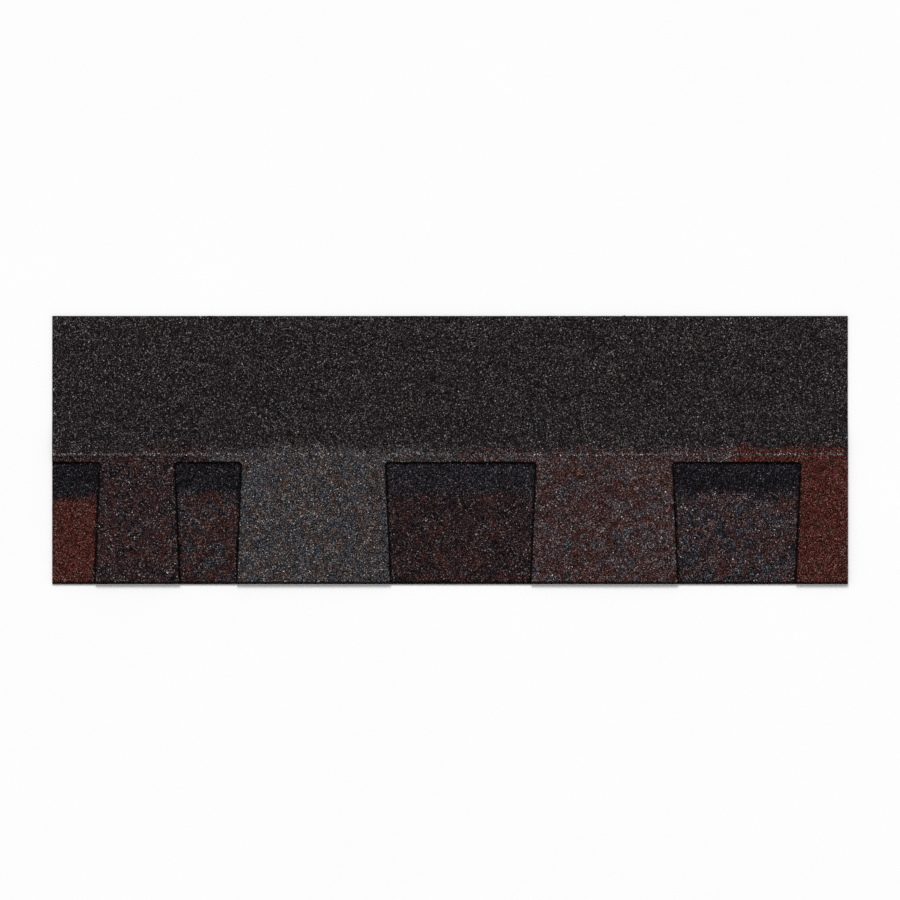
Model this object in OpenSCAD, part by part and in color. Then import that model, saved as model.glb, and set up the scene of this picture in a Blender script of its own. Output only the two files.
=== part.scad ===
// Laminated asphalt roofing shingle, lying flat with its weather face up.
// X runs along the course, Y runs up the slope and Z points out of the weather face.
// The origin is under the middle of the shingle, on the plane that it lies on.
// All sizes are in millimetres.

/* [Shingle] */
// Length along the course
shingle_l = 1000; // [700:1:1300]
// Height from the butt edge to the top edge
shingle_h = 337; // [310:1:420]
// Height that stays in view once the next course is laid
exposure = 143; // [110:1:165]

/* [Tooth sheet] */
// Thickness of the tooth sheet
tooth_t = 2.6; // [1.8:0.1:4]
// Widths of the gaps at the butt edge, from the left end
gap_w = [54, 72, 177, 149]; // [30:1:220]
// Widths of the teeth at the butt edge, each to the right of its gap
tooth_w = [106, 193, 184, 65]; // [40:1:240]
// How far each side of a tooth leans in between the butt edge and its root
tooth_lean = 6.5; // [0:0.5:10]
// How far the gaps run up past the exposure
gap_lap = 10; // [5:1:25]
// Radius in the corners at the top of each gap
gap_r = 4; // [1:0.5:10]
// Distance over which the sheet settles from the shim down to the deck
drape_w = 40; // [25:1:60]

/* [Backing shim] */
// Thickness of the shim
shim_t = 2.4; // [1.6:0.1:4]
// Height of the band above the gaps where the two sheets are bonded
bond_h = 19; // [12:1:30]

/* [Seal strip] */
// Length of one dash of sealant
seal_l = 80; // [40:1:120]
// Width of a dash
seal_w = 13; // [8:1:20]
// Thickness of a dash
seal_t = 0.8; // [0.4:0.1:1.5]
// Clear space between two dashes
seal_space = 30; // [10:1:60]
// Distance from the butt edge to the dashes
seal_edge = 12; // [6:1:30]

/* [Release film] */
// Width of the film
film_w = 32; // [20:1:45]
// Thickness of the film, which lies flush in the underside
film_t = 0.2; // [0.1:0.05:0.4]
// Distance from the top edge to the film
film_edge = 25; // [10:1:40]

/* [Hidden] */
$fn = 48;

// How far a cutting shape runs past the face that it cuts
over = 1;
// Straight steps in the curve of the drape
drape_steps = 12;
// Straight steps in the curve of a gap's root corner
corner_steps = 6;

gap_h = exposure + gap_lap;
shim_h = gap_h + bond_h;
// Height of the shim's upper face, which the sheet settles down from
shim_z = seal_t + shim_t;

left_x = -shingle_l / 2;
right_x = shingle_l / 2;
butt_y = -shingle_h / 2;
top_y = shingle_h / 2;
root_y = butt_y + gap_h;
shim_y = butt_y + shim_h;
film_y = top_y - film_edge - film_w;

// The gaps and teeth follow each other from the left end, and start again where the pattern ends
function total(list, count) = count <= 0 ? 0 : list[count - 1] + total(list, count - 1);
pattern_n = len(gap_w);
pattern_l = total(gap_w, pattern_n) + total(tooth_w, pattern_n);
function gap_x(i) =
    let (turn = floor(i / pattern_n), k = i % pattern_n)
    left_x + turn * pattern_l + total(gap_w, k) + total(tooth_w, k);
gap_limit = pattern_n * ceil(shingle_l / pattern_l);
// The first gap is open at the left end, so its cut runs out past it
function end_run(i) = i == 0 ? over : 0;

// Underside of the tooth sheet: flat on the shim, an even curve past its upper edge, flat on the deck
function underside(y) =
    let (t = (y - shim_y) / drape_w)
    t <= 0 ? shim_z : t >= 1 ? 0 : shim_z * (1 + cos(180 * t)) / 2;
profile_y = [
    butt_y,
    for (i = [0 : drape_steps]) shim_y + drape_w * i / drape_steps,
    top_y
];

seal_pitch = seal_l + seal_space;
seal_n = floor((shingle_l + seal_space) / seal_pitch);

// Side view of the tooth sheet, with Y to the right and Z up
module sheet_profile() {
    lower = [for (y = profile_y) [y, underside(y)]];
    upper = [for (y = profile_y) [y, underside(y) + tooth_t]];
    last = len(profile_y) - 1;
    polygon(concat(lower, [for (i = [last : -1 : 0]) upper[i]]));
}

// A dovetail gap seen from above, wider at its root than at the butt edge, with rounded root corners
module gap_outline(x, w) {
    slant = atan(tooth_lean / gap_h);
    half_mouth = w / 2 - over * tan(slant);
    // Middle of the right corner's arc, which touches the root and the side
    arc_x = w / 2 + tooth_lean - gap_r / tan((90 - slant) / 2);
    arc_y = root_y - gap_r;
    right = [
        for (i = [0 : corner_steps])
            let (turn = (90 + slant) * i / corner_steps - slant)
            [arc_x + gap_r * cos(turn), arc_y + gap_r * sin(turn)]
    ];
    left = [for (i = [corner_steps : -1 : 0]) [-right[i].x, right[i].y]];
    mouth = [[-half_mouth, butt_y - over], [half_mouth, butt_y - over]];
    translate([x + w / 2, 0])
        polygon(concat(mouth, right, left));
}

// Room for the release film in the sheet's underside
module film_bed() {
    translate([left_x - over, film_y, -over])
        cube([shingle_l + 2 * over, film_w, film_t + over]);
}

// The full-height sheet whose lower half is cut into teeth and whose upper half is the headlap
module tooth_sheet() {
    color("#3d3634")
        difference() {
            rotate([90, 0, 90])
                linear_extrude(shingle_l, center = true)
                    sheet_profile();
            for (i = [0 : gap_limit])
                if (gap_x(i) < right_x)
                    translate([0, 0, shim_z - over])
                        linear_extrude(tooth_t + 2 * over)
                            gap_outline(gap_x(i) - end_run(i), gap_w[i % pattern_n] + end_run(i));
            film_bed();
        }
}

// The strip behind the teeth that shows in the gaps
module backing_shim() {
    color("#2b2222")
        translate([left_x, butt_y, seal_t])
            cube([shingle_l, shim_h, shim_t]);
}

// One dash of sealant with round ends, centred on the origin
module seal_dash() {
    half_straight = (seal_l - seal_w) / 2;
    linear_extrude(seal_t) {
        square([2 * half_straight, seal_w], center = true);
        for (side = [-1, 1])
            translate([side * half_straight, 0])
                circle(d = seal_w);
    }
}

// The row of sealant dashes under the butt edge, which grips the course below
module seal_strip() {
    color("#15130f")
        for (i = [0 : seal_n - 1])
            translate([(i - (seal_n - 1) / 2) * seal_pitch, butt_y + seal_edge + seal_w / 2, 0])
                seal_dash();
}

// The strip of film under the headlap that keeps stacked shingles from sticking
module release_film() {
    color("#b9bcbe")
        translate([left_x, film_y, 0])
            cube([shingle_l, film_w, film_t]);
}

tooth_sheet();
backing_shim();
seal_strip();
release_film();
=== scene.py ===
# Looks of a laminated asphalt shingle: its two granule-faced sheets, the sealant and the film under
# them, and the floor, light and camera.
# Lengths are in metres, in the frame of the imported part: X along the course, Y up the slope, Z up.

import math

import bpy
import numpy as np
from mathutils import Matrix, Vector


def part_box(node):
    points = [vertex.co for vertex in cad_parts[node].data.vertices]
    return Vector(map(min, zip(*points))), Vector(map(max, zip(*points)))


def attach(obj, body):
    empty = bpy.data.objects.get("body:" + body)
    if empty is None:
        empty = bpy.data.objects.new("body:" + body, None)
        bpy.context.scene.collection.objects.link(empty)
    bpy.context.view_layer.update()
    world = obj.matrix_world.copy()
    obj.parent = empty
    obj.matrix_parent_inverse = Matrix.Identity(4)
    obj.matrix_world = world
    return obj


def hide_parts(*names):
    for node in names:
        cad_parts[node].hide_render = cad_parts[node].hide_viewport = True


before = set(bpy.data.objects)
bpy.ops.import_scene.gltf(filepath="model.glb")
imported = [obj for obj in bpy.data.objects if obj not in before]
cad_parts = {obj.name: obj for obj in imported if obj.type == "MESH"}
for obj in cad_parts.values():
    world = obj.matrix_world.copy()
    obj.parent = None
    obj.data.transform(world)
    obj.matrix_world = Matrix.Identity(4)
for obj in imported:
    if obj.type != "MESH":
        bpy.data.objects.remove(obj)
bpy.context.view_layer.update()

MM = 0.001

# Lengths that the part's source names and the frame's boxes don't give
GAP_W = [54 * MM, 72 * MM, 177 * MM, 149 * MM]
TOOTH_W = [106 * MM, 193 * MM, 184 * MM, 65 * MM]
TOOTH_LEAN = 6.5 * MM
GAP_H = 153 * MM
GAP_R = 4 * MM
EXPOSURE = 143 * MM
DRAPE_W = 40 * MM
SEAL_L = 80 * MM
SEAL_SPACE = 30 * MM

# The rest of the outline comes from the frame
sheet_low, sheet_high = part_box("tooth_sheet")
shim_low, shim_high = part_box("backing_shim")
seal_low, seal_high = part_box("seal_strip")
film_low, film_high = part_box("release_film")
LEFT_X, BUTT_Y = sheet_low.x, sheet_low.y
RIGHT_X, TOP_Y = sheet_high.x, sheet_high.y
SHIM_Y, SHIM_Z = shim_high.y, shim_high.z
TOOTH_T = sheet_high.z - SHIM_Z
ROOT_Y = BUTT_Y + GAP_H

# The asphalt lies this far below the solids' faces, and the granules fill that up again
GRANULE_LIFT = 0.45 * MM
# Rounding of the cut edges: how far it reaches in from the edge, and how far the edge drops
ARRIS_W = 0.6 * MM
ARRIS_DROP = 0.35 * MM
# Mesh size of the two sheets
GRID_STEP = 4 * MM
# Mesh rows in a gap's rounded root corner, as angles round it in degrees
CORNER_TURNS = [25, 50, 70, 90]
# Height of the headlap's back over the plane that the shingle lies on, which leaves room for the film
BACK_LIFT = 0.15 * MM
# How far touching pieces sink into each other
EMBED = 0.05 * MM
# Gentle waves that a shingle keeps when it lies on a floor
WAVE_H = 0.35 * MM
WAVE_CELL = 160 * MM

# Seeds of all that is random; each colour adds its number to the seeds of the streaks and blotches
WAVE_SEED = 3
ALONG_SEED = 11
UP_SEED = 12
WARM_SEED = 19
CUT_SEED = 31
BARE_SEED = 33
STREAK_SEED = 40
GRANULE_SEED = 41
DASH_WOBBLE_SEED = 51
DASH_RIPPLE_SEED = 52
BLOTCH_SEED = 60
FILM_WANDER_SEED = 61
FILM_CREASE_SEED = 62

# Granule colours, as sRGB values from 0 to 255
GRANULES = {
    "black": (27, 24, 27),
    "soot": (51, 40, 40),
    "charcoal": (45, 42, 48),
    "slate": (87, 82, 84),
    "ash": (118, 113, 112),
    "dust": (120, 104, 101),
    "chalk": (158, 152, 150),
    "blue": (78, 85, 98),
    "umber": (88, 72, 66),
    "tan": (120, 103, 94),
    "plum": (72, 54, 60),
    "mauve": (112, 83, 84),
    "maroon": (87, 49, 44),
    "brick": (117, 55, 46),
    "rust": (124, 85, 72),
    "ember": (73, 35, 31),
}
COLOUR_NAMES = list(GRANULES)
# How much each of red, green and blue adds to the brightness of a colour
GREY_SHARES = np.array([0.2126, 0.7152, 0.0722])
# Each granule has one of these shares of its colour's brightness, fades this far to grey, at these odds
SHADES = np.array([0.26, 0.62, 1.1, 2.05])
SHADE_FADES = np.array([0.0, 0.0, 0.15, 0.45])
SHADE_ODDS = [0.28, 0.28, 0.27, 0.17]

# Blends of granules, as parts of each colour
BLENDS = {
    "slate": {
        "slate": 32, "ash": 17, "umber": 15, "blue": 16, "charcoal": 10, "tan": 5, "rust": 2,
        "chalk": 3,
    },
    "red": {"brick": 60, "maroon": 19, "ember": 12, "rust": 9},
    "plum": {
        "plum": 34, "soot": 17, "maroon": 12, "black": 14, "mauve": 12, "dust": 9, "blue": 1,
        "chalk": 1,
    },
    "mauve": {
        "mauve": 29, "maroon": 20, "plum": 15, "soot": 11, "dust": 7, "rust": 6, "ash": 5, "blue": 5,
        "chalk": 2,
    },
    "dusk": {
        "plum": 27, "maroon": 17, "soot": 16, "black": 13, "dust": 9, "slate": 7, "rust": 6, "blue": 5,
    },
    "wine": {"plum": 34, "soot": 21, "maroon": 14, "black": 16, "dust": 10, "umber": 5},
    "twilight": {
        "plum": 25, "charcoal": 13, "blue": 12, "mauve": 12, "black": 14, "dust": 13, "maroon": 9,
        "chalk": 2,
    },
    "shadow": {"black": 44, "charcoal": 34, "plum": 12, "blue": 9, "slate": 1},
    "dim_shadow": {"charcoal": 40, "black": 21, "plum": 13, "slate": 15, "blue": 11},
    "headlap": {"charcoal": 32, "slate": 27, "soot": 14, "black": 12, "umber": 8, "ash": 5, "plum": 2},
    "nail_line": {"chalk": 22, "ash": 30, "slate": 28, "charcoal": 20},
    # Black granules beside the teeth: partly asphalt bleed, partly painted shade at the tooth's step
    "bleed_and_painted_shade": {"black": 85, "charcoal": 15},
}
BLEND_NAMES = list(BLENDS)
# The same as shares that add up to 1, one row for each blend
BLEND_PARTS = np.array(
    [[parts.get(colour, 0) for colour in COLOUR_NAMES] for parts in BLENDS.values()], float
)
BLEND_PARTS /= BLEND_PARTS.sum(1, keepdims=True)
# Blends dropped along each sheet: the distance from the left end where each gives way, and its name
SHEET_DROPS = [(196 * MM, "plum"), (513 * MM, "slate"), (860 * MM, "mauve"), (1000 * MM, "red")]
SHIM_DROPS = [(107 * MM, "red"), (328 * MM, "dusk"), (694 * MM, "wine"), (1000 * MM, "twilight")]
# The blends above those, in the headlap and in the dark band at the top of the gaps
SHEET_UPPER = [(1000 * MM, "headlap")]
SHIM_UPPER = [(328 * MM, "shadow"), (694 * MM, "dim_shadow"), (1000 * MM, "shadow")]
# Height on the tooth sheet where the blends give way to plain headlap granules
BLEND_H = 170 * MM
# Height on the shim where its dark band begins, some way below the next course's edge
SHADOW_H = EXPOSURE - 30 * MM
# Painted line where the nails go: its height, its width, and how far single granules stray from it
NAIL_H = 163 * MM
NAIL_LINE_W = 2.6 * MM
NAIL_STRAY = 0.3 * MM
# Asphalt bleed and painted shade: black granules reach this far onto the shim beside a tooth, and this
# share more or less
BLEED_AND_SHADE_W = 2.6 * MM
BLEED_AND_SHADE_SPREAD = 0.35
# How far a blend's edge wanders, over what distance, and how far single granules stray across it
WANDER = 8 * MM
WANDER_CELL = 38 * MM
STRAY = 4.5 * MM
# Sizes and strengths of the blotches in which a colour gathers
BLOTCHES = [(22 * MM, 0.3), (7.5 * MM, 1.0)]
# How strongly warm and cool colours part from each other in them
WARM_PULL = 12
# The upper blends gather in faint streaks instead: their strength, width and length in widths
STREAK = 0.4
STREAK_CELL = 9 * MM
STREAK_RUN = 9


# Noise and colour

# Points along each side of the noise lattice, which repeats past its ends
LATTICE = 251


def soft_noise(x, y, cell, seed):
    """A smooth random field from -1 to 1 with blotches about one cell across."""
    lattice = np.random.default_rng(seed).uniform(-1, 1, (LATTICE, LATTICE))
    u = np.asarray(x) / cell + LATTICE / 2
    v = np.asarray(y) / cell + LATTICE / 2
    u0 = np.floor(u).astype(int)
    v0 = np.floor(v).astype(int)
    fu = u - u0
    fv = v - v0
    su = fu * fu * (3 - 2 * fu)
    sv = fv * fv * (3 - 2 * fv)
    u0, u1 = u0 % LATTICE, (u0 + 1) % LATTICE
    v0, v1 = v0 % LATTICE, (v0 + 1) % LATTICE
    low = lattice[v0, u0] * (1 - su) + lattice[v0, u1] * su
    high = lattice[v1, u0] * (1 - su) + lattice[v1, u1] * su
    return low * (1 - sv) + high * sv


def linear(colour):
    """sRGB values from 0 to 255 as linear light, by the standard's own curve."""
    v = np.asarray(colour, float) / 255
    return np.where(v <= 0.04045, v / 12.92, ((v + 0.055) / 1.055) ** 2.4)


def grey(level):
    """An even sRGB grey."""
    return (level, level, level)


# Linear light of each granule colour, one row each
COLOUR_TABLE = np.array([linear(colour) for colour in GRANULES.values()])


# Shape of the shingle


def gap_edges():
    """Left and right side of each gap at the butt edge."""
    edges = []
    x = LEFT_X
    for gap, tooth in zip(GAP_W, TOOTH_W):
        edges.append((x, x + gap))
        x += gap + tooth
    return edges


def lean_at(y):
    """How far a tooth's sides have leaned in at y."""
    return TOOTH_LEAN * np.clip((y - BUTT_Y) / GAP_H, 0, 1)


def fillet_at(y):
    """How far a tooth widens in the rounded corners at its root."""
    rise = np.clip(y - (ROOT_Y - GAP_R), 0, GAP_R)
    return GAP_R - np.sqrt(GAP_R**2 - rise**2)


def gap_distance(x, y):
    """Distance outside the nearest gap, negative inside it."""
    nearest = np.full(np.shape(x), np.inf)
    for i, (left, right) in enumerate(gap_edges()):
        past_side = x - right - lean_at(y)
        # The first gap is open at the left end
        if i > 0:
            past_side = np.maximum(past_side, left - lean_at(y) - x)
        # Counted from the middle of the root corner's rounding
        a = past_side + GAP_R
        b = y - ROOT_Y + GAP_R
        outside = np.hypot(np.maximum(a, 0), np.maximum(b, 0))
        nearest = np.minimum(nearest, np.minimum(np.maximum(a, b), 0) + outside - GAP_R)
    return nearest


def tooth_sides(i, y):
    """Left and right side of one tooth at each height."""
    edges = gap_edges()
    inset = lean_at(y) - fillet_at(y)
    left = edges[i][1] + inset
    # The last tooth ends at the right end
    if i == len(edges) - 1:
        return left, np.full_like(left, RIGHT_X)
    return left, edges[i + 1][0] - inset


def wave(x, y):
    """How far the waves lift the sheets."""
    return WAVE_H * (1 + soft_noise(x, y, WAVE_CELL, WAVE_SEED)) / 2


def underside(y):
    """Height of the solid sheet's underside: on the shim, draped past its upper edge, on the floor."""
    t = np.clip((y - SHIM_Y) / DRAPE_W, 0, 1)
    return SHIM_Z * (1 + np.cos(math.pi * t)) / 2


def sheet_back(x, y):
    """Height of the tooth sheet's back, bedded on the shim and just clear of the floor past it."""
    share = underside(y) / SHIM_Z
    return BACK_LIFT + share * (SHIM_Z - GRANULE_LIFT - EMBED - BACK_LIFT) + wave(x, y)


def shim_back(x, y):
    """Height of the shim's back."""
    return shim_low.z + wave(x, y)


def sheet_asphalt(x, y):
    """Height of the tooth sheet's asphalt, which the granules sit in."""
    return underside(y) + TOOTH_T - GRANULE_LIFT + wave(x, y)


def shim_asphalt(x, y):
    """Height of the shim's asphalt."""
    return SHIM_Z - GRANULE_LIFT + wave(x, y)


# Which granules lie where


def warmth(colour):
    """Above 0 for warm colours, below it for cool ones."""
    red, _, blue = GRANULES[colour]
    return (red - blue) / (red + blue)


def blotches(x, y, seed):
    """A random field with blotches of all the sizes."""
    return sum(strength * soft_noise(x, y, cell, seed) for cell, strength in BLOTCHES)


def blend_at(drops, along):
    """Number of the blend at each distance along a sheet."""
    ends = [end for end, _ in drops[:-1]]
    order = np.array([BLEND_NAMES.index(name) for _, name in drops])
    return order[np.searchsorted(ends, along)]


def blend_weights(x, y, drops, upper_drops, upper_h, stray):
    """Share of each colour at each point, with other blends above upper_h."""
    along = x - LEFT_X + WANDER * soft_noise(x, y, WANDER_CELL, ALONG_SEED) + STRAY * stray[0]
    up = y - BUTT_Y + WANDER * soft_noise(x, y, WANDER_CELL, UP_SEED) + STRAY * stray[1]
    upper = up > upper_h
    weights = BLEND_PARTS[np.where(upper, blend_at(upper_drops, along), blend_at(drops, along))]
    warm = blotches(x, y, WARM_SEED)
    for k, colour in enumerate(COLOUR_NAMES):
        streak = STREAK * soft_noise(x / STREAK_RUN, y, STREAK_CELL, STREAK_SEED + k)
        blotch = blotches(x, y, BLOTCH_SEED + k) + WARM_PULL * warmth(colour) * warm
        weights[:, k] *= np.exp(np.where(upper, streak, blotch))
    return weights / weights.sum(1, keepdims=True)


def sheet_weights(x, y, stray):
    """Granules on the tooth sheet, with the painted nail line."""
    weights = blend_weights(x, y, SHEET_DROPS, SHEET_UPPER, BLEND_H, stray)
    line = np.abs(y - BUTT_Y - NAIL_H + NAIL_STRAY * stray[1]) < NAIL_LINE_W / 2
    weights[line] = BLEND_PARTS[BLEND_NAMES.index("nail_line")]
    return weights


def shim_weights(x, y, stray):
    """Shim granules, with the dark band and black granules by the teeth: partly bleed, partly painted
    shade.
    """
    weights = blend_weights(x, y, SHIM_DROPS, SHIM_UPPER, SHADOW_H, stray)
    # Black granules beside each tooth, partly asphalt bleed and partly painted shade
    bled_and_shaded = gap_distance(x, y) > -BLEED_AND_SHADE_W * (1 + BLEED_AND_SHADE_SPREAD * stray[0])
    weights[bled_and_shaded] = BLEND_PARTS[BLEND_NAMES.index("bleed_and_painted_shade")]
    return weights


def asphalt_colours(x, y, weights_at):
    """Mean linear colour of the granules round each point, with none of them astray."""
    no_stray = np.zeros((2, len(x)))
    return weights_at(x, y, no_stray) @ COLOUR_TABLE


# Meshes from arrays


def new_object(name, verts, faces, materials, face_slots=None):
    """A mesh object from vertex and face arrays, riding on the part's one body."""
    mesh = bpy.data.meshes.new(name)
    sides = faces.shape[1]
    mesh.vertices.add(len(verts))
    mesh.vertices.foreach_set("co", np.asarray(verts, np.float32).ravel())
    mesh.loops.add(faces.size)
    mesh.loops.foreach_set("vertex_index", faces.astype(np.int32).ravel())
    mesh.polygons.add(len(faces))
    mesh.polygons.foreach_set("loop_start", np.arange(0, faces.size, sides, dtype=np.int32))
    if face_slots is not None:
        mesh.polygons.foreach_set("material_index", face_slots.astype(np.int32))
    for material in materials:
        mesh.materials.append(material)
    mesh.update(calc_edges=True)
    obj = bpy.data.objects.new(name, mesh)
    bpy.context.scene.collection.objects.link(obj)
    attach(obj, "root")
    return obj


def colour_vertices(obj, name, colours):
    """Stores a colour for each vertex."""
    rgba = np.ones((len(colours), 4), np.float32)
    rgba[:, :3] = colours
    layer = obj.data.attributes.new(name, "FLOAT_COLOR", "POINT")
    layer.data.foreach_set("color", rgba.ravel())


def stations(start, end, step, first=True, last=True):
    """Places about one step apart, with one close to each cut edge for its arris."""
    low = start + (ARRIS_W if first else 0)
    high = end - (ARRIS_W if last else 0)
    places = np.linspace(low, high, max(2, round((high - low) / step) + 1))
    return np.concatenate([[start] * first, places, [end] * last])


def grid_faces(index):
    """Quads over a grid of vertex numbers, facing up."""
    corners = [index[:-1, :-1], index[:-1, 1:], index[1:, 1:], index[1:, :-1]]
    return np.stack([c.ravel() for c in corners], 1)


def rim_edges(faces):
    """Directed edges that belong to only one face."""
    sides = faces.shape[1]
    edges = np.concatenate([faces[:, [k, (k + 1) % sides]] for k in range(sides)])
    keys = np.sort(edges, 1)
    _, where, counts = np.unique(keys, axis=0, return_index=True, return_counts=True)
    return edges[where[counts == 1]]


# The two sheets

# Places of the sheets' materials in their lists
FACE_SLOT, EDGE_SLOT, BACK_SLOT = 0, 1, 2
CUT_BLACK = (40, 37, 35)
MAT_GREY = (104, 99, 90)
# Rows of a cut edge from its arris to the back: share of the way down, how far set in, sRGB colour
CUT_ROWS = [
    (0.12, 0.0 * MM, CUT_BLACK),
    (0.38, 0.14 * MM, CUT_BLACK),
    (0.44, 0.04 * MM, MAT_GREY),
    (0.54, 0.04 * MM, MAT_GREY),
    (0.6, 0.16 * MM, CUT_BLACK),
    (0.9, 0.0 * MM, CUT_BLACK),
]
# How far its points stray in and out
CUT_ROUGH = 0.07 * MM


def rim_normals(xy, rim):
    """Directions out of the sheet at the points of its rim."""
    run = xy[rim[:, 1]] - xy[rim[:, 0]]
    out = np.column_stack([run[:, 1], -run[:, 0]])
    out /= np.linalg.norm(out, axis=1, keepdims=True)
    total = np.zeros_like(xy)
    np.add.at(total, rim[:, 0], out)
    np.add.at(total, rim[:, 1], out)
    points = np.unique(rim)
    return total[points] / np.linalg.norm(total[points], axis=1, keepdims=True)


def sheet_object(name, xy, faces, upper, lower, materials, colours):
    """A sheet with a weather face, a back, and cut edges with a small arris and the mat in them."""
    rng = np.random.default_rng(CUT_SEED)
    rim = rim_edges(faces)
    points = np.unique(rim)
    normals = rim_normals(xy, rim)
    top_z = upper.copy()
    top_z[points] -= ARRIS_DROP
    verts = [np.column_stack([xy, top_z])]
    tones = [colours]
    for share, inset, colour in CUT_ROWS:
        out = CUT_ROUGH * rng.normal(size=(len(points), 1)) - inset
        row_z = top_z[points] + share * (lower[points] - top_z[points])
        verts.append(np.column_stack([xy[points] + out * normals, row_z]))
        tones.append(np.tile(linear(colour), (len(points), 1)))
    verts.append(np.column_stack([xy, lower]))
    tones.append(np.tile(linear(CUT_BLACK), (len(xy), 1)))

    # The rim's vertex numbers at each level, from the weather face down to the back
    place = np.searchsorted(points, rim)
    levels = [rim]
    for k in range(len(CUT_ROWS)):
        levels.append(len(xy) + k * len(points) + place)
    back_start = len(xy) + len(CUT_ROWS) * len(points)
    levels.append(back_start + rim)
    walls = []
    for high, low in zip(levels[:-1], levels[1:]):
        walls.append(np.stack([high[:, 1], high[:, 0], low[:, 0], low[:, 1]], 1))
    walls = np.concatenate(walls)
    back = faces[:, ::-1] + back_start
    slots = np.repeat([FACE_SLOT, EDGE_SLOT, BACK_SLOT], [len(faces), len(walls), len(back)])
    all_faces = np.concatenate([faces, walls, back])
    obj = new_object(name, np.concatenate(verts), all_faces, materials, slots)
    colour_vertices(obj, "surface_colour", np.concatenate(tones))
    return obj


def make_tooth_sheet(materials):
    """The teeth as leaning grids that share their top rows with the headlap's grid."""
    straight = stations(BUTT_Y, ROOT_Y - GAP_R, GRID_STEP, last=False)
    corner = ROOT_Y - GAP_R + GAP_R * np.sin(np.radians(CORNER_TURNS))
    tooth_y = np.concatenate([straight, corner])
    lap_y = stations(ROOT_Y, TOP_Y, GRID_STEP)[1:]
    points = []
    faces = []
    root_row = []

    def add(x, y):
        """Adds points and gives their numbers."""
        start = sum(len(xy) for xy in points)
        points.append(np.column_stack([x.ravel(), y.ravel()]))
        return start + np.arange(x.size).reshape(x.shape)

    past = LEFT_X
    for i, width in enumerate(TOOTH_W):
        left, right = tooth_sides(i, tooth_y)
        across = stations(0, width, GRID_STEP) / width
        x = left[:, None] + across * (right - left)[:, None]
        tooth = add(x, np.repeat(tooth_y[:, None], len(across), 1))
        # The root row goes on above the gap, between the corners of the teeth
        between = stations(past, left[-1], GRID_STEP, first=i == 0, last=False)[:-1]
        if i > 0:
            between = between[1:]
        root_row.append(add(between, np.full_like(between, ROOT_Y)))
        root_row.append(tooth[-1])
        faces.append(grid_faces(tooth))
        past = right[-1]
    root_row = np.concatenate(root_row)
    root_x = np.concatenate(points)[root_row, 0]
    lap = add(np.tile(root_x, (len(lap_y), 1)), np.repeat(lap_y[:, None], len(root_x), 1))
    faces.append(grid_faces(np.vstack([root_row, lap])))
    xy = np.concatenate(points)
    x, y = xy.T
    colours = asphalt_colours(x, y, sheet_weights)
    obj = sheet_object(
        "shingle_tooth_sheet", xy, np.concatenate(faces), sheet_asphalt(x, y), sheet_back(x, y),
        materials, colours,
    )
    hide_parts("tooth_sheet")


def make_shim(materials):
    """The strip behind the teeth."""
    xs = stations(LEFT_X, RIGHT_X, GRID_STEP)
    ys = stations(BUTT_Y, SHIM_Y, GRID_STEP)
    x, y = (v.ravel() for v in np.meshgrid(xs, ys))
    faces = grid_faces(np.arange(len(x)).reshape(len(ys), len(xs)))
    colours = asphalt_colours(x, y, shim_weights)
    obj = sheet_object(
        "shingle_backing_shim", np.column_stack([x, y]), faces, shim_asphalt(x, y), shim_back(x, y),
        materials, colours,
    )
    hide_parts("backing_shim")


# Granules

# Spacing in the exposed half and in the headlap
EXPOSED_SPACING = 1.35 * MM
HEADLAP_SPACING = 1.42 * MM
# How far a granule strays from its place, and its radius, as shares of the spacing
JITTER = 0.42
RADIUS_SHARE = 0.8
# How much the radii vary, and how flat the granules lie
RADIUS_SPREAD = 0.17
FLATTEN = 0.62
# Least and greatest reach of a granule's corners, as shares of its radius
CORNER_REACH = (0.78, 1.22)
# Granules keep this far from a cut edge, which shows bare asphalt
EDGE_BARE = 0.7 * MM
# Along the butt edge they are worn off for this much more: partly wear, partly a painted shade line
# along the edge
BUTT_WORN_AND_SHADE = 2.5 * MM
# They keep this far from a gap's side, on the tooth and on the shim; the bare dark asphalt there is
# partly painted shade beside the tooth's step
TOOTH_BARE_AND_SHADE = 0.9 * MM
SHIM_BARE_AND_SHADE = 1.2 * MM
# How unevenly they do so, and over what distance
BARE_SPREAD = 0.45
BARE_CELL = 5 * MM

# A tetrahedron's corners, one unit from its middle, and its faces
CORNERS = np.array([[1, 1, 1], [1, -1, -1], [-1, 1, -1], [-1, -1, 1]]) / math.sqrt(3)
CORNER_FACES = np.array([[0, 1, 2], [0, 3, 1], [0, 2, 3], [1, 3, 2]])
# The granules' UV map, which holds their palette squares
BAKE_MAP = "OFBake"
# Squares along each side of it on the granules, and how far a face keeps inside its square
CELLS_ACROSS = math.ceil(math.sqrt(len(GRANULES) * len(SHADES)))
CELL_INSET = 0.15


def scatter(x0, x1, y0, y1, spacing, rng):
    """Jittered points on a triangular grid."""
    rise = spacing * math.sqrt(3) / 2
    rows = np.arange(y0, y1, rise)
    columns = np.arange(x0, x1, spacing)
    x, y = np.meshgrid(columns, rows)
    x = x + spacing / 2 * (np.arange(len(rows)) % 2)[:, None]
    x = x + spacing * JITTER * rng.uniform(-1, 1, x.shape)
    y = y + spacing * JITTER * rng.uniform(-1, 1, x.shape)
    return x.ravel(), y.ravel()


def turned(count, rng):
    """Random rotation matrices, from random unit quaternions."""
    turns = rng.normal(size=(4, count))
    w, x, y, z = turns / np.linalg.norm(turns, axis=0)
    return np.stack([
        np.stack([1 - 2 * (y * y + z * z), 2 * (x * y - z * w), 2 * (x * z + y * w)], -1),
        np.stack([2 * (x * y + z * w), 1 - 2 * (x * x + z * z), 2 * (y * z - x * w)], -1),
        np.stack([2 * (x * z - y * w), 2 * (y * z + x * w), 1 - 2 * (x * x + y * y)], -1),
    ], -2)


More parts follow.
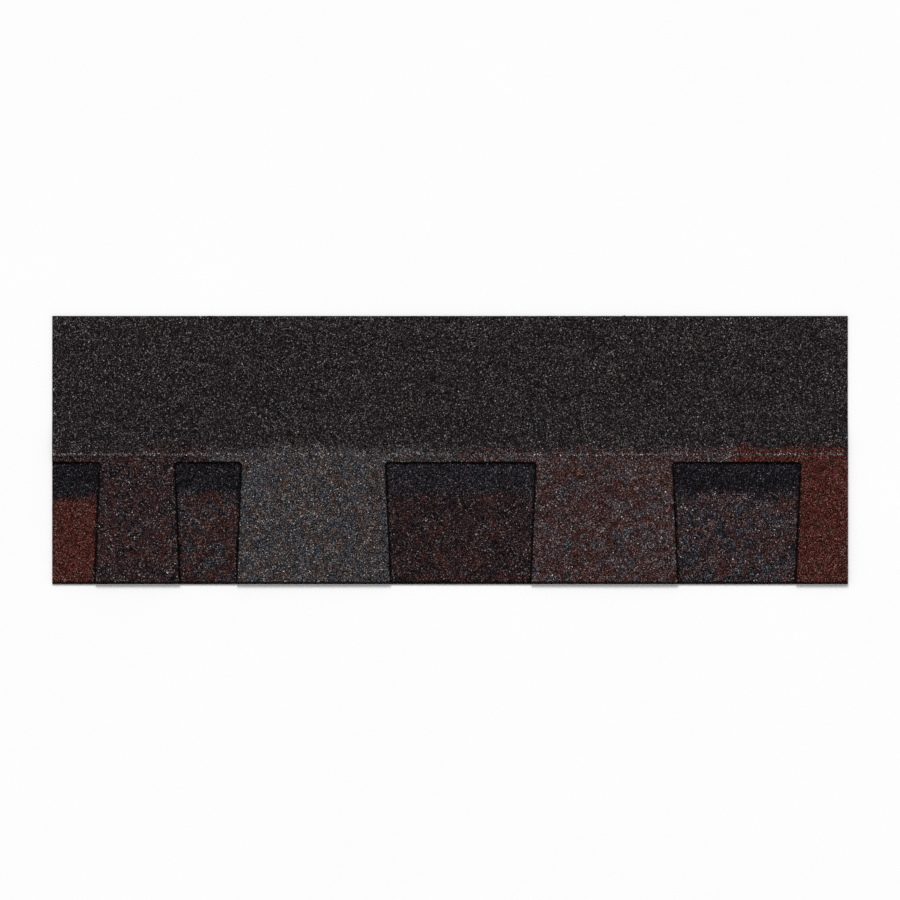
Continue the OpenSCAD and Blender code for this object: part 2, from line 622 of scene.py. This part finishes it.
def palette_map(obj, cells):
    """A UV map with one square for each granule colour and shade, shared by its granules."""
    far = 1 - CELL_INSET
    corner_uv = np.array([[CELL_INSET, CELL_INSET], [far, CELL_INSET], [0.5, far]])
    origin = np.column_stack([cells % CELLS_ACROSS, cells // CELLS_ACROSS])
    uv = (origin[:, None, None, :] + corner_uv[None, None]) / CELLS_ACROSS
    uv = np.repeat(uv, len(CORNER_FACES), 1)
    layer = obj.data.uv_layers.new(name=BAKE_MAP)
    layer.data.foreach_set("uv", uv.astype(np.float32).ravel())


def make_granules(name, x, y, z, spacing, weights, material, rng):
    """Crushed stone chips, each an uneven tetrahedron pressed into the asphalt."""
    count = len(x)
    colour = (weights.cumsum(1) < rng.uniform(size=(count, 1))).sum(1)
    level = rng.choice(len(SHADES), count, p=SHADE_ODDS)
    rgb = COLOUR_TABLE[colour] * SHADES[level][:, None]
    rgb += SHADE_FADES[level][:, None] * ((rgb @ GREY_SHARES)[:, None] - rgb)
    radius = spacing * RADIUS_SHARE * np.exp(RADIUS_SPREAD * rng.normal(size=count))
    chips = CORNERS[None] * rng.uniform(*CORNER_REACH, (count, len(CORNERS), 1))
    chips = np.einsum("nij,nkj->nki", turned(count, rng), chips) * radius[:, None, None]
    chips[:, :, 2] *= FLATTEN
    chips += np.stack([x, y, z], 1)[:, None]
    faces = CORNER_FACES[None] + len(CORNERS) * np.arange(count)[:, None, None]
    obj = new_object(name, chips.reshape(-1, 3), faces.reshape(-1, 3), [material])
    colour_vertices(obj, "granule_colour", np.repeat(rgb, len(CORNERS), 0))
    palette_map(obj, colour * len(SHADES) + level)


def inside(x, y, margin):
    """Where points keep the margin from the outline, and from the worn line along the butt edge, which
    is partly painted shade.
    """
    between_ends = (x > LEFT_X + margin) & (x < RIGHT_X - margin)
    # The bare dark line along the butt edge is partly wear and partly painted shade
    return between_ends & (y > BUTT_Y + BUTT_WORN_AND_SHADE + margin) & (y < TOP_Y - margin)


def unevenness(x, y):
    """What the bare margins are multiplied by, to vary along an edge."""
    return 1 + BARE_SPREAD * soft_noise(x, y, BARE_CELL, BARE_SEED)


def make_all_granules(material):
    """Granules on the teeth, in the gaps and on the headlap, in halves where they are many."""
    rng = np.random.default_rng(GRANULE_SEED)
    blend_y = BUTT_Y + BLEND_H

    def lay(name, x, y, spacing, height, weights_at):
        """Lays one piece's granules on a sheet."""
        weights = weights_at(x, y, rng.normal(size=(2, len(x))))
        make_granules(name, x, y, height(x, y), spacing, weights, material, rng)

    def lay_halves(name, x, y, spacing):
        """Lays granules on the tooth sheet, as a left and a right piece."""
        for side, half in (("_left", x < 0), ("_right", x >= 0)):
            lay(name + side, x[half], y[half], spacing, sheet_asphalt, sheet_weights)

    x, y = scatter(LEFT_X, RIGHT_X, BUTT_Y, blend_y, EXPOSED_SPACING, rng)
    uneven = unevenness(x, y)
    on_sheet = inside(x, y, EDGE_BARE * uneven)
    from_gap = gap_distance(x, y)
    # Bare dark asphalt along the gaps' sides is partly painted shade beside the teeth
    on_tooth = on_sheet & (from_gap > TOOTH_BARE_AND_SHADE * uneven)
    in_gap = on_sheet & (from_gap < -SHIM_BARE_AND_SHADE * uneven)
    lay_halves("granules_teeth", x[on_tooth], y[on_tooth], EXPOSED_SPACING)
    x, y = x[in_gap], y[in_gap]
    lay("granules_gaps", x, y, EXPOSED_SPACING, shim_asphalt, shim_weights)

    x, y = scatter(LEFT_X, RIGHT_X, blend_y, TOP_Y, HEADLAP_SPACING, rng)
    on_sheet = inside(x, y, EDGE_BARE * unevenness(x, y))
    lay_halves("granules_headlap", x[on_sheet], y[on_sheet], HEADLAP_SPACING)


# Materials

# Specular level of stone and asphalt, whose dust and pits swallow most of their shine
DULL = 0.04
# Ramps: places along a pattern's values, and the sRGB colours there
FINES_GRAIN = [(0.1, grey(40)), (0.9, grey(170))]
FINES_PITS = [(0.25, grey(235)), (0.65, grey(70))]
CUT_SPECKS = [(0.25, (120, 118, 116)), (0.6, (205, 202, 198)), (0.8, grey(255))]
SAND_TONES = [(0.32, (44, 42, 40)), (0.5, (82, 78, 73)), (0.7, (134, 128, 118))]
SAND_STREAKS = [(0.3, grey(216)), (0.7, grey(255))]
TAR_TONES = [(0.4, (12, 11, 10)), (0.7, (34, 31, 28))]
FILM_TONES = [(0.3, (150, 152, 154)), (0.7, (196, 198, 200))]
FLOOR_TONES = [(0.0, grey(229)), (1.0, grey(233))]
# Patterns that run along the sheet: how many spots they have to a metre along X, Y and Z
SAND_RUN = (6, 190, 1)
CREASE_RUN = (35, 220, 1)


class Shader:
    """A Principled material and short ways to add nodes; a scale is a number of spots to a metre."""

    def __init__(self, name):
        self.material = bpy.data.materials.new(name)
        self.material.use_nodes = True
        self.tree = self.material.node_tree
        self.principled = self.tree.nodes["Principled BSDF"]

    def add(self, kind, **settings):
        """A new node with its settings."""
        node = self.tree.nodes.new(kind)
        for key, value in settings.items():
            setattr(node, key, value)
        return node

    def put(self, socket, value):
        """Links an output to an input, or sets the input's own value."""
        if isinstance(value, bpy.types.NodeSocket):
            self.tree.links.new(value, socket)
        else:
            socket.default_value = value

    def coordinates(self, scale=(1, 1, 1)):
        """The piece's own coordinates in metres, times a scale."""
        place = self.add("ShaderNodeTexCoord").outputs["Object"]
        mapping = self.add("ShaderNodeMapping")
        self.put(mapping.inputs["Vector"], place)
        self.put(mapping.inputs["Scale"], scale)
        return mapping.outputs["Vector"]

    def noise(self, scale, detail=2.0, place=None):
        """Soft noise from 0 to 1."""
        node = self.add("ShaderNodeTexNoise")
        self.put(node.inputs["Vector"], place or self.coordinates())
        self.put(node.inputs["Scale"], scale)
        self.put(node.inputs["Detail"], detail)
        return node.outputs["Fac"]

    def cells(self, scale):
        """A node of cells, each with its own colour and the distance from its middle."""
        node = self.add("ShaderNodeTexVoronoi")
        self.put(node.inputs["Vector"], self.coordinates())
        self.put(node.inputs["Scale"], scale)
        return node

    def ramp(self, value, stops):
        """Colours along a value; each stop is its place and an sRGB colour."""
        node = self.add("ShaderNodeValToRGB")
        elements = node.color_ramp.elements
        while len(elements) < len(stops):
            elements.new(0.5)
        for element, (place, colour) in zip(elements, stops):
            element.position = place
            element.color = (*linear(colour), 1)
        self.put(node.inputs["Fac"], value)
        return node.outputs["Color"]

    def scaled(self, value, low, high):
        """A value from 0 to 1 spread from low to high."""
        node = self.add("ShaderNodeMapRange")
        self.put(node.inputs["Value"], value)
        self.put(node.inputs["To Min"], low)
        self.put(node.inputs["To Max"], high)
        return node.outputs["Result"]

    def times(self, a, b):
        """Two colours multiplied."""
        node = self.add("ShaderNodeMix", data_type="RGBA", blend_type="MULTIPLY")
        self.put(node.inputs["Factor"], 1.0)
        self.put(node.inputs["A"], a)
        self.put(node.inputs["B"], b)
        return node.outputs["Result"]

    def attribute(self, name):
        """The colour stored at each vertex."""
        return self.add("ShaderNodeAttribute", attribute_name=name).outputs["Color"]

    def bump(self, height, depth, strength=1.0):
        """Roughens the surface by a height from 0 to 1."""
        node = self.add("ShaderNodeBump")
        self.put(node.inputs["Height"], height)
        self.put(node.inputs["Distance"], depth)
        self.put(node.inputs["Strength"], strength)
        self.put(self.principled.inputs["Normal"], node.outputs["Normal"])

    def set(self, **sockets):
        """Sets the shader's own sockets, whose names have spaces for underscores."""
        for name, value in sockets.items():
            self.put(self.principled.inputs[name.replace("_", " ")], value)


def asphalt_face():
    """Asphalt with the finest granules pressed into it, under the larger ones."""
    s = Shader("asphalt_with_fines")
    cells = s.cells(scale=1150)
    grain = s.ramp(cells.outputs["Color"], FINES_GRAIN)
    pits = s.ramp(cells.outputs["Distance"], FINES_PITS)
    s.set(
        Base_Color=s.times(s.times(s.attribute("surface_colour"), grain), pits),
        Roughness=s.scaled(s.noise(scale=900), low=0.7, high=0.95),
        Specular_IOR_Level=DULL,
    )
    s.bump(s.scaled(cells.outputs["Distance"], low=1, high=0), depth=0.4 * MM)
    return s.material


def asphalt_edge():
    """Cut edge: filled asphalt and the glass mat, with specks of filler and broken granules."""
    s = Shader("cut_asphalt")
    specks = s.ramp(s.cells(scale=1500).outputs["Color"], CUT_SPECKS)
    s.set(
        Base_Color=s.times(s.attribute("surface_colour"), specks),
        Roughness=s.scaled(s.noise(scale=700), low=0.6, high=0.9),
        Specular_IOR_Level=DULL,
    )
    s.bump(s.noise(scale=1300, detail=3), depth=0.3 * MM)
    return s.material


def sanded_back():
    """Back of a sheet: dusted with fine sand, with faint streaks along the machine's run."""
    s = Shader("sanded_back")
    sand = s.noise(scale=1700, detail=3)
    streaks = s.noise(scale=1, detail=4, place=s.coordinates(SAND_RUN))
    s.set(
        Base_Color=s.times(s.ramp(sand, SAND_TONES), s.ramp(streaks, SAND_STREAKS)),
        Roughness=s.scaled(s.noise(scale=400), low=0.8, high=1.0),
    )
    s.bump(sand, depth=0.25 * MM)
    return s.material


def granule_stone():
    """Ceramic-coated stone chips, each in its own colour."""
    s = Shader("granule_stone")
    s.set(
        Base_Color=s.attribute("granule_colour"),
        Roughness=s.scaled(s.noise(scale=2200), low=0.7, high=0.95),
        Specular_IOR_Level=DULL,
    )
    s.bump(s.noise(scale=3500), depth=0.08 * MM, strength=0.6)
    return s.material


def tar():
    """Self-seal asphalt: shiny, with a little dust."""
    s = Shader("sealant_tar")
    s.set(
        Base_Color=s.ramp(s.noise(scale=350, detail=4), TAR_TONES),
        Roughness=s.scaled(s.noise(scale=220, detail=3), low=0.18, high=0.6),
    )
    s.bump(s.noise(scale=260, detail=3), depth=0.25 * MM)
    return s.material


def plastic_film():
    """Thin clear film over the sanded back, slightly creased."""
    s = Shader("release_film_plastic")
    creases = s.noise(scale=1, detail=4, place=s.coordinates(CREASE_RUN))
    s.set(
        Base_Color=s.ramp(creases, FILM_TONES),
        Roughness=s.scaled(s.noise(scale=60, detail=3), low=0.12, high=0.3),
        Coat_Weight=0.4,
        Coat_Roughness=0.1,
    )
    s.bump(creases, depth=0.15 * MM)
    return s.material


def pale_floor():
    """A plain floor, a shade lighter in places."""
    s = Shader("pale_floor")
    s.set(Base_Color=s.ramp(s.noise(scale=3), FLOOR_TONES), Roughness=0.9)
    return s.material


# Underside pieces

# A dash of sealant: points round it, rings from its rim to its middle, and how square its ends are
DASH_POINTS = 72
DASH_RINGS = [1.0, 0.97, 0.9, 0.78, 0.6, 0.38, 0.16]
DASH_SQUARENESS = 4.5
# How flat the middle of its dome is, as a power
DASH_FLATNESS = 4
# How far its rim draws in, as a share of its reach, and over what distance
DASH_WOBBLE = 0.07
DASH_WOBBLE_CELL = 9 * MM
# How far its dome ripples, and over what distance
DASH_RIPPLE = 0.07 * MM
DASH_RIPPLE_CELL = 6 * MM
# Release film: mesh steps along it, rows across it, and how far it stands out of the back
FILM_STEP = 5 * MM
FILM_ROWS = 14
FILM_PROUD = 0.09 * MM
# How deep its creases are, how wide, and how long in widths
FILM_CREASE = 0.05 * MM
FILM_CREASE_CELL = 5 * MM
FILM_CREASE_RUN = 6
# How far its edges wander, and over what distance
FILM_WANDER = 0.5 * MM
FILM_WANDER_CELL = 60 * MM


def dash_outline():
    """A long rounded outline, one unit to each side of the middle."""
    turn = np.linspace(0, 2 * math.pi, DASH_POINTS, endpoint=False)
    c, s = np.cos(turn), np.sin(turn)
    power = 2 / DASH_SQUARENESS
    return np.sign(c) * np.abs(c)**power, np.sign(s) * np.abs(s)**power


def dash_points(middle_x):
    """Points of one dash: its flat top in the shim, the rings of its dome, and both their middles."""
    middle_y = (seal_low.y + seal_high.y) / 2
    half_w = (seal_high.y - seal_low.y) / 2
    depth = seal_high.z - seal_low.z
    across, up = dash_outline()
    rim_x = middle_x + across * SEAL_L / 2
    rim_y = middle_y + up * half_w
    draw_in = (1 + soft_noise(rim_x, rim_y, DASH_WOBBLE_CELL, DASH_WOBBLE_SEED)) / 2
    share = np.array(DASH_RINGS)[:, None]
    reach = share * (1 - DASH_WOBBLE * draw_in)
    x = middle_x + reach * (rim_x - middle_x)
    y = middle_y + reach * (rim_y - middle_y)
    dome = np.sqrt(1 - share**DASH_FLATNESS)
    ripple = DASH_RIPPLE * dome * (1 + soft_noise(x, y, DASH_RIPPLE_CELL, DASH_RIPPLE_SEED))
    z = shim_back(x, y) - depth * dome + ripple
    top = np.column_stack([x[0], y[0], z[0] + EMBED])
    rings = np.stack([x, y, z], -1).reshape(-1, 3)
    lower_middle = [middle_x, middle_y, z[-1].mean()]
    upper_middle = [middle_x, middle_y, top[:, 2].mean()]
    return np.concatenate([top, rings, [lower_middle, upper_middle]])


def dash_faces():
    """Triangles of one dash, from the rim of its top to both its middles."""
    here = np.arange(DASH_POINTS)
    after = np.roll(here, -1)
    starts = np.arange(len(DASH_RINGS) + 1) * DASH_POINTS
    faces = []
    for a, b in zip(starts[:-1], starts[1:]):
        faces.append(np.stack([a + here, b + here, b + after], 1))
        faces.append(np.stack([a + here, b + after, a + after], 1))
    last = starts[-1]
    lower_middle = np.full(DASH_POINTS, last + DASH_POINTS)
    upper_middle = lower_middle + 1
    faces.append(np.stack([last + here, lower_middle, last + after], 1))
    faces.append(np.stack([after, upper_middle, here], 1))
    return np.concatenate(faces)


def make_sealant(material):
    """Dashes of sealant pressed onto the shim's back, domed and a little uneven."""
    pitch = SEAL_L + SEAL_SPACE
    count = round((seal_high.x - seal_low.x + SEAL_SPACE) / pitch)
    first_x = seal_low.x + SEAL_L / 2
    dashes = [dash_points(first_x + i * pitch) for i in range(count)]
    faces = [dash_faces() + i * len(dash) for i, dash in enumerate(dashes)]
    obj = new_object("shingle_sealant", np.concatenate(dashes), np.concatenate(faces), [material])
    obj.data.shade_smooth()
    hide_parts("seal_strip")


def make_film(material):
    """Thin film stuck to the headlap's back, with fine creases along it and edges that wander."""
    columns = round((film_high.x - film_low.x) / FILM_STEP) + 1
    xs = np.linspace(film_low.x, film_high.x, columns)
    ys = np.linspace(film_low.y, film_high.y, FILM_ROWS)
    x, y = np.meshgrid(xs, ys)
    y = y + FILM_WANDER * soft_noise(x, np.zeros_like(x), FILM_WANDER_CELL, FILM_WANDER_SEED)
    crease = FILM_CREASE * soft_noise(x / FILM_CREASE_RUN, y, FILM_CREASE_CELL, FILM_CREASE_SEED)
    upper = BACK_LIFT + EMBED + wave(x, y)
    lower = BACK_LIFT - FILM_PROUD + crease + wave(x, y)
    top = grid_faces(np.arange(x.size).reshape(x.shape))
    rim = rim_edges(top)
    walls = np.stack([rim[:, 1], rim[:, 0], rim[:, 0] + x.size, rim[:, 1] + x.size], 1)
    verts = np.concatenate([np.stack([x, y, z], -1).reshape(-1, 3) for z in (upper, lower)])
    faces = np.concatenate([top, walls, top[:, ::-1] + x.size])
    obj = new_object("shingle_release_film", verts, faces, [material])
    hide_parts("release_film")


# Floor, light and camera

FLOOR_SIZE = 12.0
# The floor lies this far below the shingle, so that no two faces share a plane
FLOOR_DROP = 0.1 * MM
# Where the sun stands, its strength, and the angle of its disc, which softens the shadows
SUN_FROM = (-0.14, 0.8, 0.98)
SUN_STRENGTH = 2.75
SUN_SPREAD = math.radians(28)
# Even white light from all sides
SKY_COLOUR = (1, 1, 1, 1)
SKY_STRENGTH = 0.55
# A long lens, which shows hardly any perspective, and the sensor's width, both in millimetres
LENS = 200.0
SENSOR = 36.0
# Width of the image in pixels, and how many of them the shingle spans
IMAGE_SIZE = 900
SHINGLE_PIXELS = 796


def make_floor():
    """A plain pale floor."""
    half = FLOOR_SIZE / 2
    mesh = bpy.data.meshes.new("floor")
    corners = [(-half, -half, 0), (half, -half, 0), (half, half, 0), (-half, half, 0)]
    mesh.from_pydata(corners, [], [(0, 1, 2, 3)])
    mesh.materials.append(pale_floor())
    floor = bpy.data.objects.new("floor", mesh)
    floor.location.z = -FLOOR_DROP
    bpy.context.scene.collection.objects.link(floor)


def make_light():
    """A broad soft sun from above the top edge, and even light round it."""
    sun = bpy.data.lights.new("key", "SUN")
    sun.energy = SUN_STRENGTH
    sun.angle = SUN_SPREAD
    key = bpy.data.objects.new("key", sun)
    key.rotation_mode = "QUATERNION"
    key.rotation_quaternion = Vector(SUN_FROM).to_track_quat("Z", "Y")
    bpy.context.scene.collection.objects.link(key)

    world = bpy.data.worlds.new("studio")
    world.use_nodes = True
    sky = world.node_tree.nodes["Background"]
    sky.inputs["Color"].default_value = SKY_COLOUR
    sky.inputs["Strength"].default_value = SKY_STRENGTH
    bpy.context.scene.world = world


def make_camera():
    """Straight above the shingle, which is as wide in the frame as the photographed panel."""
    data = bpy.data.cameras.new("camera")
    data.lens = LENS
    data.sensor_width = SENSOR
    frame_width = (RIGHT_X - LEFT_X) * IMAGE_SIZE / SHINGLE_PIXELS
    camera = bpy.data.objects.new("camera", data)
    camera.location = (0, 0, sheet_high.z + frame_width * LENS / SENSOR)
    bpy.context.scene.collection.objects.link(camera)
    bpy.context.scene.camera = camera


def main():
    """Builds the stage and all the pieces."""
    make_floor()
    make_light()
    make_camera()
    sheet_materials = [asphalt_face(), asphalt_edge(), sanded_back()]
    make_tooth_sheet(sheet_materials)
    make_shim(sheet_materials)
    make_all_granules(granule_stone())
    make_sealant(tar())
    make_film(plastic_film())
    bpy.context.scene.view_settings.view_transform = "Standard"
    bpy.context.scene.cycles.use_denoising = False


main()
